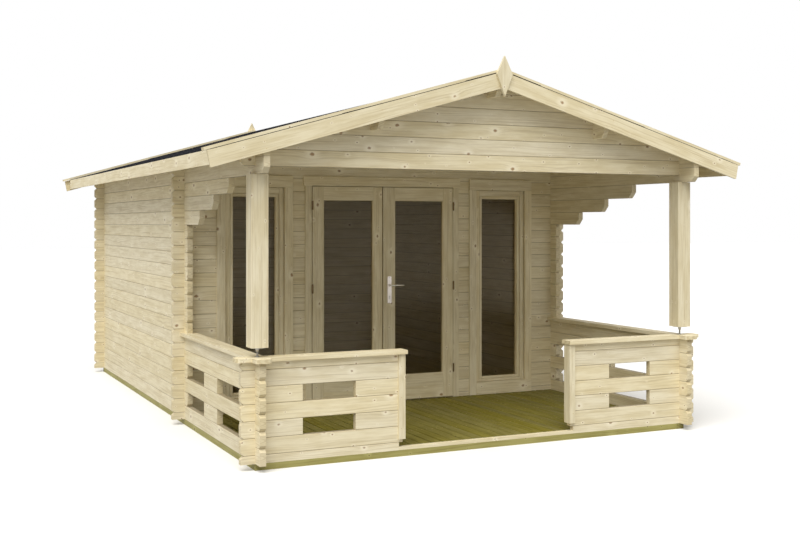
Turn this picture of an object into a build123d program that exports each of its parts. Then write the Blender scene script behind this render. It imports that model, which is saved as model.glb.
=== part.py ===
"""Log cabin with a covered porch, log railings and a glazed double door.

Millimetres, +Z up. The origin is on the ground under the middle of the roof.
X runs across the front, Y runs from the porch (negative) to the rear wall.
"""
from build123d import *
from math import cos, radians, tan
import os

os.makedirs("parts", exist_ok=True)

# Logs
log_t = 44
course = 114
groove = 4
log_end = 100
end_cut = 22

# Plan of the cabin, measured on the outer faces of the logs
cabin_w = 3600
cabin_l = 5495
porch_depth = 1885
base_h = 45
base_w = 70
joist_w = 45
porch_joists = 3
room_joists = 5
floor_t = 19

# Rows of logs: to the roof, up to the railing cap, the corbels and the porch beams
side_rows = 19
rail_rows = 6
corbel_row = 14
beam_row = 17

# Roof
roof_pitch = 16
roof_board_t = 19
felt_t = 4
eave_out = 313
front_out = 185
rear_out = 210
fascia_t = 20
fascia_h = 105
barge_t = 20
barge_h = 112
barge_over = 51
barge_cut = 22
lath_t = 20
lath_w = 58
lath_over = 24
lath_cut = 4
purlin_w = 40
purlin_h = 153
purlin_x = 938
purlin_cut = 70
purlin_nose = 50
finial_w = 130
finial_wide_z = 2682
finial_up = 132
finial_down = 160
finial_t = 20

# Corbels and ends of the porch beams
corbel_reach = 473
corbel_step = 397
beam_out = 183
corbel_bevel = 50
beam_bevel = 42

# Railings of the porch, lengths from the outer face of the side wall or the porch front
rail_length = 1090
rail_foot = 1062
rail_hole_start = 338
rail_hole_end = 730
side_hole_start = 355
side_block_start = 917
side_block_end = 1279
open_rows = (1, 3)
sill_h = 22
trim_t = 16
trim_flange = 34
trim_lift = 80
cap_t = 28
cap_in = 36
cap_out = 138
cap_over = 25
cap_end_round = 30

# Posts on steel feet
post_w = 120
post_bottom = 778
foot_plate_w = 80
foot_plate_t = 5
foot_rod_r = 7
foot_nut_r = 13
foot_nut_h = 11
foot_base_r = 18
foot_base_t = 5

# Double door, heights above the underside of the logs
leaf_half = 684
leaf_t = 40
leaf_proud = 22
leaf_bottom = 28
leaf_top = 1928
leaf_gap = 6
meeting_x = -21
meeting_gap = 10
left_pane_in = 112
right_pane_in = 98
pane_out = 584
pane_low = 247
pane_high = 1813
rail_line_z = 136
rail_line_w = 4
rail_line_d = 3
jamb_t = 42
stop_w = 14
casing_t = 16
casing_w = 58
head_casing_h = 81
head_ear = 17
pane_t = 6
bead = 8

# Hinges and handle of the door
hinge_r = 7
hinge_h = 80
hinge_sides = 12
hinge_split = 0.3
hinge_plate_in = 20
hinge_forward = 9
hinge_heights = (290, 1042, 1764)
plate_w = 40
plate_h = 240
plate_t = 4
plate_x = 45
plate_mid = 1016
spindle_r = 5
spindle_clear = 3
lever_z = 1057
lever_neck_r = 8
lever_reach = 50
lever_l = 118
lever_r = 6
lever_t = 9
lever_gap = 0.3

# Tall windows beside the door, distances from the middle of the front
window_casing_in = 862
window_casing_out = 1530
window_casing_w = 72
window_casing_top = 100
window_casing_bottom = 114
window_casing_t = 20
window_head = 2015
window_lap = 48
window_depth = 70
sash_recess = 5
sash_t = 60
sash_glass = 40
sash_side_w = 72
sash_top_w = 81
sash_bottom_w = 47

# Places that follow from the sizes
half_w = cabin_w / 2
front_reach = front_out + barge_t + finial_t
rear_reach = rear_out + barge_t + finial_t
y_front = front_reach - (cabin_l + front_reach + rear_reach) / 2
y_room = y_front + porch_depth
y_rear = y_front + cabin_l
roof_y0 = y_front - front_out
roof_y1 = y_rear + rear_out
wall_y0 = y_room - log_end
wall_y1 = y_rear + log_end
slope = radians(roof_pitch)
z_log = base_h
z_eave = z_log + side_rows * course
z_apex = z_eave + half_w * tan(slope)
bevel_rise = log_t * tan(slope)
z_cap = z_log + rail_rows * course
z_cap_top = z_cap + cap_t
z_split = z_log + (beam_row + 0.5) * course
z_beam = z_log + beam_row * course
z_floor = z_log + floor_t
eave_x = half_w + eave_out
door_half = leaf_half + leaf_gap + jamb_t
door_clear = leaf_half + leaf_gap
z_leaf0 = z_log + leaf_bottom
z_leaf1 = z_log + leaf_top
z_head = z_leaf1 + leaf_gap
leaf_y0 = y_room - leaf_proud
leaf_y1 = leaf_y0 + leaf_t
hinge_x = leaf_half + leaf_gap / 2
hinge_y = leaf_y0 - hinge_forward
across = Plane.XZ
along = Plane.YZ
square_end = (0, 0)
free_end = (end_cut, end_cut)
bottom_end = (0, end_cut)


# The underside of the roof over a place, lifted square to the slope
def roof_z(x, lift=0.0):
    return z_apex + lift / cos(slope) - abs(x) * tan(slope)


# The outline of stacked logs, each row given as start, cut, end, cut, low and high
def log_stack(rows):
    right = []
    left = []
    for start, start_cut, end, end_cut_pair, low, high in rows:
        right.append((end - end_cut_pair[0], low))
        right.append((end, low + end_cut_pair[0]))
        right.append((end, high - end_cut_pair[1]))
        right.append((end - end_cut_pair[1], high))
        left.append((start + start_cut[0], low))
        left.append((start, low + start_cut[0]))
        left.append((start, high - start_cut[1]))
        left.append((start + start_cut[1], high))
    points = []
    for point in right + left[::-1]:
        if not points or point != points[-1]:
            points.append(point)
    Polygon(*points, align=None)


# The end view of stacked logs, with a V groove at the seams named for each face
def stacked_section(face_a, face_b, seams_a, seams_b, low, top_a, top_b):
    points = [(face_a, low)]
    for seam in seams_a:
        points.append((face_a, seam - groove))
        points.append((face_a + groove, seam))
        points.append((face_a, seam + groove))
    points.append((face_a, top_a))
    points.append((face_b, top_b))
    for seam in reversed(seams_b):
        points.append((face_b, seam + groove))
        points.append((face_b - groove, seam))
        points.append((face_b, seam - groove))
    points.append((face_b, low))
    Polygon(*points, align=None)


# Heights of the seams, whole courses in the side walls and half a course up in the others
def seams_between(low, high, lift):
    heights = [z_log + (n + lift) * course for n in range(-1, side_rows + 6)]
    return [z for z in heights if low < z < high]


# Cuts where the crossing logs pass, centred on the seams of this wall
def crossing_cuts(places, low, high, lift):
    heights = [z_log + (n + lift) * course for n in range(-1, side_rows + 6)]
    centres = [(p, z) for p in places for z in heights if low <= z <= high]
    with Locations(*centres):
        Rectangle(log_t, course / 2, mode=Mode.SUBTRACT)


# The rows of a wall that crosses the side walls, from one height to another
def front_rows(start, start_cut, end, end_cut_pair, low, high):
    rows = []
    for n in range(-1, side_rows + 6):
        row_low = max(z_log + (n + 0.5) * course, low)
        row_high = min(z_log + (n + 1.5) * course, high)
        if row_low < row_high:
            s = bottom_end if row_low == z_log and start_cut == free_end else start_cut
            e = bottom_end if row_low == z_log and end_cut_pair == free_end else end_cut_pair
            rows.append((start, s, end, e, row_low, row_high))
    return rows


# The shape under the roof, with pockets for the purlins
def cut_to_roof(low):
    reach = half_w + log_end
    Polygon(
        (-reach, low), (reach, low), (reach, roof_z(reach)), (0, z_apex), (-reach, roof_z(reach)),
        align=None, mode=Mode.INTERSECT,
    )
    pockets = [(x, roof_z(x)) for x in (-purlin_x, 0, purlin_x)]
    with Locations(*pockets):
        Rectangle(purlin_w, 2 * purlin_h, mode=Mode.SUBTRACT)


# An upright rectangle in a sketch between two corners
def panel(x0, z0, x1, z1, mode=Mode.ADD):
    with Locations(((x0 + x1) / 2, (z0 + z1) / 2)):
        Rectangle(x1 - x0, z1 - z0, mode=mode)


# A block between two corners
def block(x0, y0, z0, x1, y1, z1, mode=Mode.ADD):
    with Locations(((x0 + x1) / 2, (y0 + y1) / 2, (z0 + z1) / 2)):
        Box(x1 - x0, y1 - y0, z1 - z0, mode=mode)


# Foundation beams under the side walls
with BuildPart() as foundation_side_beams:
    for x0 in (-half_w, half_w - base_w):
        block(x0, y_front, 0, x0 + base_w, y_rear, base_h)
foundation_side_beams.part.label = "foundation_side_beams"
export_step(foundation_side_beams.part, "parts/foundation_side_beams.step")

# Foundation beams between them: under the fronts, the rear wall and the floors
beam_x = half_w - base_w
room_beam_y = y_room + (log_t - base_w) / 2
porch_pitch = (room_beam_y - y_front) / (porch_joists + 1)
room_pitch = (y_rear - base_w - room_beam_y) / (room_joists + 1)
with BuildPart() as foundation_cross_beams:
    for y0 in (y_front, room_beam_y, y_rear - base_w):
        block(-beam_x, y0, 0, beam_x, y0 + base_w, base_h)
    for n in range(1, porch_joists + 1):
        y0 = y_front + n * porch_pitch
        block(-beam_x, y0, 0, beam_x, y0 + joist_w, base_h)
    for n in range(1, room_joists + 1):
        y0 = room_beam_y + n * room_pitch
        block(-beam_x, y0, 0, beam_x, y0 + joist_w, base_h)
foundation_cross_beams.part.label = "foundation_cross_beams"
export_step(foundation_cross_beams.part, "parts/foundation_cross_beams.step")

# Porch deck and room floor
inner_x = half_w - log_t
with BuildPart() as porch_deck:
    block(-inner_x, y_front + log_t, z_log, inner_x, y_room, z_floor)
porch_deck.part.label = "porch_deck"
export_step(porch_deck.part, "parts/porch_deck.step")

with BuildPart() as room_floor:
    block(-inner_x, y_room + log_t, z_log, inner_x, y_rear - log_t, z_floor)
room_floor.part.label = "room_floor"
export_step(room_floor.part, "parts/room_floor.step")

# Side wall of the room up to the corbels, its log ends crossing both corners
left_rows = []
for n in range(corbel_row):
    low = z_log + n * course
    free_front = n in open_rows or n >= rail_rows
    front_cut = free_end if free_front else square_end
    rear_cut = free_end if n else bottom_end
    left_rows.append((wall_y0, front_cut, wall_y1, rear_cut, low, low + course))
z_corbel = z_log + corbel_row * course
room_crossings = (y_room + log_t / 2, y_rear - log_t / 2)
with BuildPart() as left_wall:
    with BuildSketch(along.offset(-half_w)):
        log_stack(left_rows)
        crossing_cuts(room_crossings, z_log, z_corbel, 0)
    extrude(amount=log_t)
    with BuildSketch(across):
        seams = seams_between(z_log, z_corbel, 0)
        stacked_section(-half_w, log_t - half_w, seams, [], z_log, z_corbel, z_corbel)
    extrude(amount=cabin_l, both=True, mode=Mode.INTERSECT)
left_wall.part.label = "left_wall"
export_step(left_wall.part, "parts/left_wall.step")

with BuildPart() as right_wall:
    mirror(left_wall.part, about=Plane.YZ)
right_wall.part.label = "right_wall"
export_step(right_wall.part, "parts/right_wall.step")

# Top logs of the side walls: three corbels and two beams that run out over the porch
top_rows = []
for n in range(corbel_row, side_rows):
    low = z_log + n * course
    high = low + course
    if n < beam_row:
        start = wall_y0 - log_end - (n - corbel_row) * corbel_step - (corbel_reach - 2 * log_end)
        front_cut = (corbel_bevel, 0)
    elif n == beam_row:
        start = y_front - beam_out
        front_cut = (beam_bevel, 0)
    else:
        start = y_front - beam_out
        front_cut = square_end
    if n == side_rows - 1:
        high = high + bevel_rise
        rear_cut = (end_cut, end_cut + bevel_rise)
    else:
        rear_cut = free_end
    top_rows.append((start, front_cut, wall_y1, rear_cut, low, high))
with BuildPart() as left_top_logs:
    with BuildSketch(along.offset(-half_w)):
        log_stack(top_rows)
        crossing_cuts(room_crossings, z_corbel, z_eave, 0)
        crossing_cuts((y_front + log_t / 2,), z_split, z_eave, 0)
    extrude(amount=log_t)
    with BuildSketch(across):
        seams = seams_between(z_corbel, z_eave, 0)
        stacked_section(-half_w, log_t - half_w, seams, [], z_corbel, z_eave, z_eave + bevel_rise)
    extrude(amount=cabin_l, both=True, mode=Mode.INTERSECT)
left_top_logs.part.label = "left_top_logs"
export_step(left_top_logs.part, "parts/left_top_logs.step")

with BuildPart() as right_top_logs:
    mirror(left_top_logs.part, about=Plane.YZ)
right_top_logs.part.label = "right_top_logs"
export_step(right_top_logs.part, "parts/right_top_logs.step")

# Side railing of the porch with two rows of openings
porch_crossing = (y_front + log_t / 2,)
side_rail_rows = []
for n in range(rail_rows):
    low = z_log + n * course
    front_cut = free_end if n else bottom_end
    side_rail_rows.append((y_front - log_end, front_cut, wall_y0, square_end, low, low + course))
with BuildPart() as left_side_railing:
    with BuildSketch(along.offset(-half_w)):
        log_stack(side_rail_rows)
        crossing_cuts(porch_crossing, z_log, z_cap, 0)
        for n in open_rows:
            low = z_log + n * course
            high = low + course
            panel(y_front + side_hole_start, low, y_front + side_block_start, high, Mode.SUBTRACT)
            panel(y_front + side_block_end, low, wall_y0, high, Mode.SUBTRACT)
    extrude(amount=log_t)
    with BuildSketch(across):
        seams = seams_between(z_log, z_cap, 0)
        stacked_section(-half_w, log_t - half_w, seams, seams, z_log, z_cap, z_cap)
    extrude(amount=cabin_l, both=True, mode=Mode.INTERSECT)
left_side_railing.part.label = "left_side_railing"
export_step(left_side_railing.part, "parts/left_side_railing.step")

with BuildPart() as right_side_railing:
    mirror(left_side_railing.part, about=Plane.YZ)
right_side_railing.part.label = "right_side_railing"
export_step(right_side_railing.part, "parts/right_side_railing.step")

# Front railing beside the entrance with two openings
side_crossing = (-half_w + log_t / 2,)
rail_end_x = rail_length - half_w
front_rail_rows = front_rows(-half_w - log_end, free_end, rail_end_x, square_end, z_log, z_cap)
foot_row = front_rail_rows[0]
front_rail_rows[0] = foot_row[:2] + (rail_foot - half_w,) + foot_row[3:]
with BuildPart() as left_front_railing:
    with BuildSketch(across.offset(-y_front)):
        log_stack(front_rail_rows)
        crossing_cuts(side_crossing, z_log, z_cap, 0.5)
        for n in open_rows:
            low = z_log + (n + 0.5) * course
            x0 = rail_hole_start - half_w
            x1 = rail_hole_end - half_w
            panel(x0, low, x1, low + course, Mode.SUBTRACT)
    extrude(amount=-log_t)
    with BuildSketch(along):
        seams = seams_between(z_log, z_cap, 0.5)
        stacked_section(y_front, y_front + log_t, seams, seams, z_log, z_cap, z_cap)
    extrude(amount=cabin_w, both=True, mode=Mode.INTERSECT)
left_front_railing.part.label = "left_front_railing"
export_step(left_front_railing.part, "parts/left_front_railing.step")

with BuildPart() as right_front_railing:
    mirror(left_front_railing.part, about=Plane.YZ)
right_front_railing.part.label = "right_front_railing"
export_step(right_front_railing.part, "parts/right_front_railing.step")

# Low sill across the entrance of the porch
sill_x = half_w - rail_foot
with BuildPart() as entrance_sill:
    block(-sill_x, y_front, z_log, sill_x, y_front + log_t, z_log + sill_h)
entrance_sill.part.label = "entrance_sill"
export_step(entrance_sill.part, "parts/entrance_sill.step")

# Channel-shaped trims over the railing ends at the entrance
trim_x = rail_end_x + trim_t
with BuildPart() as entrance_trims:
    z_trim = z_log + trim_lift
    block(rail_end_x, y_front - trim_t, z_trim, trim_x, y_front + log_t + trim_t, z_cap)
    for y0 in (y_front - trim_t, y_front + log_t):
        block(rail_end_x - trim_flange, y0, z_trim, rail_end_x, y0 + trim_t, z_cap)
    mirror(about=Plane.YZ)
entrance_trims.part.label = "entrance_trims"
export_step(entrance_trims.part, "parts/entrance_trims.step")

# Cap board on the front railing, rounded where it passes the corner
cap_y0 = y_front - cap_in
cap_y1 = y_front + log_t + cap_in
cap_x0 = -half_w - cap_in
cap_x1 = -half_w + log_t + cap_in
with BuildPart() as front_caps:
    with BuildSketch(Plane.XY.offset(z_cap)):
        panel(-half_w - cap_out, cap_y0, rail_end_x + cap_over, cap_y1)
    extrude(amount=cap_t)
    fillet(front_caps.edges().filter_by(Axis.Z).group_by(Axis.X)[0], cap_end_round)
    mirror(about=Plane.YZ)
front_caps.part.label = "front_caps"
export_step(front_caps.part, "parts/front_caps.step")

# Cap board on the side railing, fitted round the log ends of the room
with BuildPart() as side_caps:
    with BuildSketch(Plane.XY.offset(z_cap)):
        panel(cap_x0, y_front - cap_out, cap_x1, cap_y0)
    extrude(amount=cap_t)
    fillet(side_caps.edges().filter_by(Axis.Z).group_by(Axis.Y)[0], cap_end_round)
    with BuildSketch(Plane.XY.offset(z_cap)):
        panel(cap_x0, cap_y1, cap_x1, y_room)
        panel(-half_w, wall_y0, log_t - half_w, y_room, Mode.SUBTRACT)
    extrude(amount=cap_t)
    mirror(about=Plane.YZ)
side_caps.part.label = "side_caps"
export_step(side_caps.part, "parts/side_caps.step")

# Posts under the porch beams
post_x = half_w - log_t / 2
post_y = y_front + log_t / 2
z_post = z_log + post_bottom
with BuildPart() as porch_posts:
    for x in (-post_x, post_x):
        with Locations((x, post_y, (z_post + z_beam) / 2)):
            Box(post_w, post_w, z_beam - z_post)
    chamfer(porch_posts.edges().filter_by(Axis.Z), cap_t / 8)
porch_posts.part.label = "porch_posts"
export_step(porch_posts.part, "parts/porch_posts.step")

# Steel screw feet under the posts
foot_h = z_post - z_cap_top
with BuildPart() as post_feet:
    for x in (-post_x, post_x):
        with BuildSketch(Plane.XY.offset(z_cap_top)):
            with Locations((x, post_y)):
                Circle(foot_base_r)
        extrude(amount=foot_base_t)
        with BuildSketch(Plane.XY.offset(z_cap_top)):
            with Locations((x, post_y)):
                Circle(foot_rod_r)
        extrude(amount=foot_h)
        with BuildSketch(Plane.XY.offset(z_post - foot_plate_t - foot_nut_h)):
            with Locations((x, post_y)):
                RegularPolygon(foot_nut_r, 6)
        extrude(amount=foot_nut_h)
        with BuildSketch(Plane.XY.offset(z_post - foot_plate_t)):
            with Locations((x, post_y)):
                Rectangle(foot_plate_w, foot_plate_w)
        extrude(amount=foot_plate_t)
post_feet.part.label = "post_feet"
export_step(post_feet.part, "parts/post_feet.step")

# Gable of the porch, laid into the porch beams
gable_top = z_apex + course
all_crossings = (-half_w + log_t / 2, half_w - log_t / 2)
with BuildPart() as porch_gable:
    with BuildSketch(across.offset(-y_front)):
        reach = half_w + log_end
        log_stack(front_rows(-reach, free_end, reach, free_end, z_split, gable_top))
        cut_to_roof(z_split)
        crossing_cuts(all_crossings, z_split, z_eave, 0.5)
    extrude(amount=-log_t)
    with BuildSketch(along):
        seams = seams_between(z_split, z_apex, 0.5)
        stacked_section(y_front, y_front + log_t, seams, seams, z_split, gable_top, gable_top)
    extrude(amount=cabin_w, both=True, mode=Mode.INTERSECT)
porch_gable.part.label = "porch_gable"
export_step(porch_gable.part, "parts/porch_gable.step")

# Gable of the room's front wall over the door and windows
with BuildPart() as front_wall_gable:
    add(porch_gable.part.moved(Location((0, porch_depth, 0))))
front_wall_gable.part.label = "front_wall_gable"
export_step(front_wall_gable.part, "parts/front_wall_gable.step")

# Front wall of the room beside the door, cut through for the window
window_in = window_casing_in + window_lap
window_out = window_casing_out - window_lap
window_low = z_floor + window_casing_bottom - window_lap
window_high = z_log + window_head - window_casing_top + window_lap
with BuildPart() as left_front_wall:
    with BuildSketch(across.offset(-y_room)):
        rows = front_rows(-half_w - log_end, free_end, -door_half, square_end, z_log, z_split)
        log_stack(rows)
        panel(-window_out, window_low, -window_in, window_high, Mode.SUBTRACT)
        crossing_cuts(side_crossing, z_log, z_split, 0.5)
    extrude(amount=-log_t)
    with BuildSketch(along):
        seams = seams_between(z_log, z_split, 0.5)
        stacked_section(y_room, y_room + log_t, seams, [], z_log, z_split, z_split)
    extrude(amount=cabin_w, both=True, mode=Mode.INTERSECT)
left_front_wall.part.label = "left_front_wall"
export_step(left_front_wall.part, "parts/left_front_wall.step")

with BuildPart() as right_front_wall:
    mirror(left_front_wall.part, about=Plane.YZ)
right_front_wall.part.label = "right_front_wall"
export_step(right_front_wall.part, "parts/right_front_wall.step")

# Rear wall with its gable
with BuildPart() as rear_wall:
    with BuildSketch(across.offset(-y_rear)):
        reach = half_w + log_end
        log_stack(front_rows(-reach, free_end, reach, free_end, z_log, gable_top))
        cut_to_roof(z_log)
        crossing_cuts(all_crossings, z_log, z_eave, 0.5)
    extrude(amount=log_t)
    with BuildSketch(along):
        seams = seams_between(z_log, z_apex, 0.5)
        stacked_section(y_rear - log_t, y_rear, [], seams, z_log, gable_top, gable_top)
    extrude(amount=cabin_w, both=True, mode=Mode.INTERSECT)
rear_wall.part.label = "rear_wall"
export_step(rear_wall.part, "parts/rear_wall.step")


# Slanting cut under both ends of a purlin
def purlin_ends(low, width):
    with BuildSketch(along) as wedges:
        for y, inward in ((roof_y0, 1), (roof_y1, -1)):
            nose = purlin_h - purlin_nose
            Polygon((y, low), (y + inward * purlin_cut, low), (y, low + nose), align=None)
    extrude(wedges.sketch, amount=width, both=True, mode=Mode.SUBTRACT)


# Ridge purlin and the two side purlins, bevelled to the roof
with BuildPart() as ridge_purlin:
    with BuildSketch(across.offset(-roof_y0)):
        w = purlin_w / 2
        low = z_apex - purlin_h
        Polygon((-w, low), (w, low), (w, roof_z(w)), (0, z_apex), (-w, roof_z(w)), align=None)
    extrude(amount=roof_y0 - roof_y1)
    purlin_ends(low, purlin_w)
ridge_purlin.part.label = "ridge_purlin"
export_step(ridge_purlin.part, "parts/ridge_purlin.step")

with BuildPart() as side_purlins:
    with BuildSketch(across.offset(-roof_y0)):
        x0 = purlin_x - purlin_w / 2
        x1 = purlin_x + purlin_w / 2
        low = roof_z(purlin_x) - purlin_h
        Polygon((x0, low), (x1, low), (x1, roof_z(x1)), (x0, roof_z(x0)), align=None)
    extrude(amount=roof_y0 - roof_y1)
    purlin_ends(low, cabin_w)
    mirror(about=Plane.YZ)
side_purlins.part.label = "side_purlins"
export_step(side_purlins.part, "parts/side_purlins.step")


# A layer of the left roof slope between two lifts, with the reach of its top and its underside
def slope_layer(lift_low, lift_high, reach, under_reach):
    Polygon(
        (0, roof_z(0, lift_low)), (0, roof_z(0, lift_high)),
        (-reach, roof_z(reach, lift_high)), (-under_reach, roof_z(under_reach, lift_low)),
        align=None,
    )


# Roof boards and felt of each slope
felt_top = roof_board_t + felt_t
fascia_x = eave_x + fascia_t
with BuildPart() as left_roof_boards:
    with BuildSketch(across.offset(-roof_y0)):
        slope_layer(0, roof_board_t, eave_x, eave_x)
    extrude(amount=roof_y0 - roof_y1)
left_roof_boards.part.label = "left_roof_boards"
export_step(left_roof_boards.part, "parts/left_roof_boards.step")

with BuildPart() as right_roof_boards:
    mirror(left_roof_boards.part, about=Plane.YZ)
right_roof_boards.part.label = "right_roof_boards"
export_step(right_roof_boards.part, "parts/right_roof_boards.step")

with BuildPart() as left_roof_felt:
    with BuildSketch(across.offset(barge_t - roof_y0)):
        slope_layer(roof_board_t, felt_top, fascia_x, fascia_x)
    extrude(amount=roof_y0 - roof_y1 - 2 * barge_t)
left_roof_felt.part.label = "left_roof_felt"
export_step(left_roof_felt.part, "parts/left_roof_felt.step")

with BuildPart() as right_roof_felt:
    mirror(left_roof_felt.part, about=Plane.YZ)
right_roof_felt.part.label = "right_roof_felt"
export_step(right_roof_felt.part, "parts/right_roof_felt.step")

# Eave boards across the ends of the roof boards
with BuildPart() as eave_boards:
    with BuildSketch(across.offset(-roof_y0)):
        top = roof_z(eave_x, roof_board_t)
        Polygon(
            (eave_x, top - fascia_h), (fascia_x, top - fascia_h),
            (fascia_x, roof_z(fascia_x, roof_board_t)), (eave_x, top), align=None,
        )
    extrude(amount=roof_y0 - roof_y1)
    mirror(about=Plane.YZ)
eave_boards.part.label = "eave_boards"
export_step(eave_boards.part, "parts/eave_boards.step")

# Bargeboards on both gables, under the edge of the felt
barge_reach = eave_x + fascia_t + barge_over
with BuildPart() as left_bargeboards:
    for y in (roof_y0 - barge_t, roof_y1):
        with BuildSketch(across.offset(-y)):
            slope_layer(roof_board_t - barge_h, roof_board_t, barge_reach, barge_reach - barge_cut)
        extrude(amount=-barge_t)
left_bargeboards.part.label = "left_bargeboards"
export_step(left_bargeboards.part, "parts/left_bargeboards.step")

with BuildPart() as right_bargeboards:
    mirror(left_bargeboards.part, about=Plane.YZ)
right_bargeboards.part.label = "right_bargeboards"
export_step(right_bargeboards.part, "parts/right_bargeboards.step")

# Laths on the felt along both gables
lath_reach = barge_reach + lath_over
with BuildPart() as left_verge_laths:
    for y in (roof_y0 - barge_t, roof_y1 + barge_t - lath_w):
        with BuildSketch(across.offset(-y)):
            slope_layer(felt_top, felt_top + lath_t, lath_reach, lath_reach - lath_cut)
        extrude(amount=-lath_w)
left_verge_laths.part.label = "left_verge_laths"
export_step(left_verge_laths.part, "parts/left_verge_laths.step")

with BuildPart() as right_verge_laths:
    mirror(left_verge_laths.part, about=Plane.YZ)
right_verge_laths.part.label = "right_verge_laths"
export_step(right_verge_laths.part, "parts/right_verge_laths.step")

# Diamond finials over the joints of the bargeboards
with BuildPart() as finials:
    z_wide = z_log + finial_wide_z
    for y in (roof_y0 - barge_t - finial_t, roof_y1 + barge_t):
        with BuildSketch(across.offset(-y)):
            Polygon(
                (-finial_w / 2, z_wide), (0, z_wide - finial_down), (finial_w / 2, z_wide),
                (0, z_wide + finial_up), align=None,
            )
        extrude(amount=-finial_t)
finials.part.label = "finials"
export_step(finials.part, "parts/finials.step")

# Door frame: jambs with stops and casings, a head and a threshold
stop_y = leaf_y1 + leaf_gap
with BuildPart() as door_jambs:
    with BuildSketch(Plane.XY.offset(z_log)):
        panel(door_clear, y_room - casing_t, door_clear + casing_w, y_room)
        panel(door_clear, y_room, door_half, y_room + log_t)
        panel(door_clear - stop_w, stop_y, door_clear, y_room + log_t)
    extrude(amount=z_head - z_log)
    block(
        door_clear, y_room - casing_t, z_log, door_clear + casing_w, y_room, z_floor, Mode.SUBTRACT
    )
    block(
        door_clear - stop_w, stop_y, z_log, door_clear, y_room + log_t, z_log + sill_h, Mode.SUBTRACT
    )
    mirror(about=Plane.YZ)
door_jambs.part.label = "door_jambs"
export_step(door_jambs.part, "parts/door_jambs.step")

with BuildPart() as door_head:
    block(-door_half, y_room, z_head, door_half, y_room + log_t, z_split)
    head_x = door_clear + casing_w + head_ear
    block(-head_x, y_room - casing_t, z_head, head_x, y_room, z_head + head_casing_h)
    stop_x = door_clear - stop_w
    block(-stop_x, stop_y, z_head - stop_w, stop_x, y_room + log_t, z_head)
door_head.part.label = "door_head"
export_step(door_head.part, "parts/door_head.step")

with BuildPart() as door_threshold:
    block(-door_clear, y_room, z_log, door_clear, y_room + log_t, z_log + sill_h)
    block(-stop_x, stop_y, z_log + sill_h, stop_x, y_room + log_t, z_leaf0 + stop_w)
door_threshold.part.label = "door_threshold"
export_step(door_threshold.part, "parts/door_threshold.step")


# A glazed frame of a door leaf, with a slot that holds the pane
def glazed_leaf(x0, x1, glass_x0, glass_x1):
    with BuildSketch(across.offset(-leaf_y0)) as frame_face:
        panel(x0, z_leaf0, x1, z_leaf1)
        panel(glass_x0, z_log + pane_low, glass_x1, z_log + pane_high, Mode.SUBTRACT)
    extrude(frame_face.sketch, amount=-leaf_t)
    pane(glass_x0, glass_x1, z_log + pane_low, z_log + pane_high, leaf_glass_y, Mode.SUBTRACT)
    line_z = z_log + rail_line_z
    for y in (leaf_y0, leaf_y1 - rail_line_d):
        block(
            glass_x0, y, line_z, glass_x1, y + rail_line_d, line_z + rail_line_w, Mode.SUBTRACT
        )


# A pane that reaches into the slot of its frame
def pane(x0, x1, z0, z1, y0, mode=Mode.ADD):
    block(x0 - bead, y0, z0 - bead, x1 + bead, y0 + pane_t, z1 + bead, mode)


# Double door
leaf_glass_y = leaf_y0 + (leaf_t - pane_t) / 2
left_leaf_x1 = meeting_x - meeting_gap / 2
right_leaf_x0 = meeting_x + meeting_gap / 2
with BuildPart() as left_leaf:
    glazed_leaf(-leaf_half, left_leaf_x1, -pane_out, -left_pane_in)
left_leaf.part.label = "left_leaf"
export_step(left_leaf.part, "parts/left_leaf.step")

with BuildPart() as left_leaf_glass:
    pane(-pane_out, -left_pane_in, z_log + pane_low, z_log + pane_high, leaf_glass_y)
left_leaf_glass.part.label = "left_leaf_glass"
export_step(left_leaf_glass.part, "parts/left_leaf_glass.step")

spindle_hole = spindle_r + spindle_clear
with BuildPart() as right_leaf:
    glazed_leaf(right_leaf_x0, leaf_half, right_pane_in, pane_out)
    with BuildSketch(across.offset(-leaf_y0)):
        with Locations((plate_x, z_log + lever_z)):
            Circle(spindle_hole)
    extrude(amount=-leaf_t, mode=Mode.SUBTRACT)
right_leaf.part.label = "right_leaf"
export_step(right_leaf.part, "parts/right_leaf.step")

with BuildPart() as right_leaf_glass:
    pane(right_pane_in, pane_out, z_log + pane_low, z_log + pane_high, leaf_glass_y)
right_leaf_glass.part.label = "right_leaf_glass"
export_step(right_leaf_glass.part, "parts/right_leaf_glass.step")


# Half of each hinge on the right: a barrel on the hinge line and a plate in the gap of the leaf
def hinge_halves(z_from, z_to, plate_x0, plate_x1):
    for height in hinge_heights:
        low = z_log + height + z_from
        high = z_log + height + z_to
        with BuildSketch(Plane.XY.offset(low)) as outline:
            with Locations((hinge_x, hinge_y)):
                RegularPolygon(hinge_r, hinge_sides)
            panel(plate_x0, hinge_y, plate_x1, leaf_y0 + hinge_plate_in)
        extrude(outline.sketch, amount=high - low)


# Lift-off hinges: lower halves on the jambs, upper halves on the edges of the leaves
hinge_half = hinge_h / 2
with BuildPart() as frame_hinges:
    hinge_halves(-hinge_half, 0, hinge_x, door_clear)
    mirror(about=Plane.YZ)
frame_hinges.part.label = "frame_hinges"
export_step(frame_hinges.part, "parts/frame_hinges.step")

with BuildPart() as right_leaf_hinges:
    hinge_halves(hinge_split, hinge_half, leaf_half, hinge_x)
right_leaf_hinges.part.label = "right_leaf_hinges"
export_step(right_leaf_hinges.part, "parts/right_leaf_hinges.step")

with BuildPart() as left_leaf_hinges:
    mirror(right_leaf_hinges.part, about=Plane.YZ)
left_leaf_hinges.part.label = "left_leaf_hinges"
export_step(left_leaf_hinges.part, "parts/left_leaf_hinges.step")

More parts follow.
